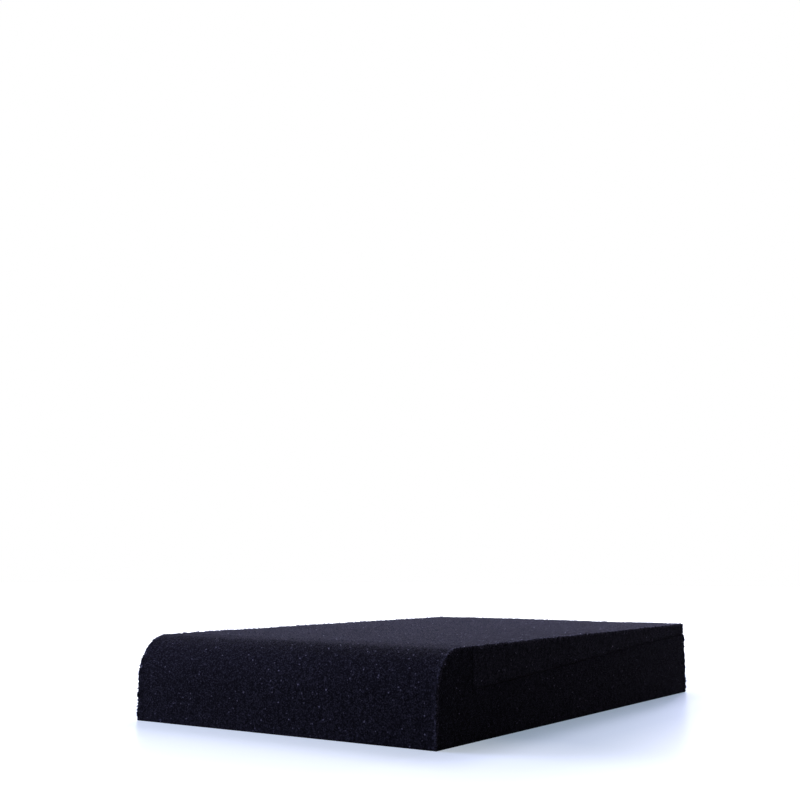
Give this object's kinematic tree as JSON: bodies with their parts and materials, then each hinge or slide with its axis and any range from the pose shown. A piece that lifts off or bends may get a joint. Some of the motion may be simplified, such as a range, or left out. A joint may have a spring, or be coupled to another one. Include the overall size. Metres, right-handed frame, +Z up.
{
  "type": "speaker isolation pad",
  "caption": "Foam isolation pad: a base with a rounded front lip and a sloping seat, and a loose tapered wedge that brings its top level under a desk loudspeaker.",
  "frame": {"origin": "centre of the underside, on the desk", "axes": "+Z up, +Y from the rounded front lip to the rear face, +X to the right as the loudspeaker's listener sees it"},
  "size_m": [0.17, 0.28, 0.04],
  "materials": {
    "base_foam": "charcoal open-cell polyurethane foam, cut faces, matte",
    "wedge_foam": "charcoal open-cell polyurethane foam, cut faces, matte, a shade greyer than the base"
  },
  "bodies": {
    "root": {"base_pad": "base_foam", "wedge_insert": "wedge_foam"}
  },
  "joints": []
}
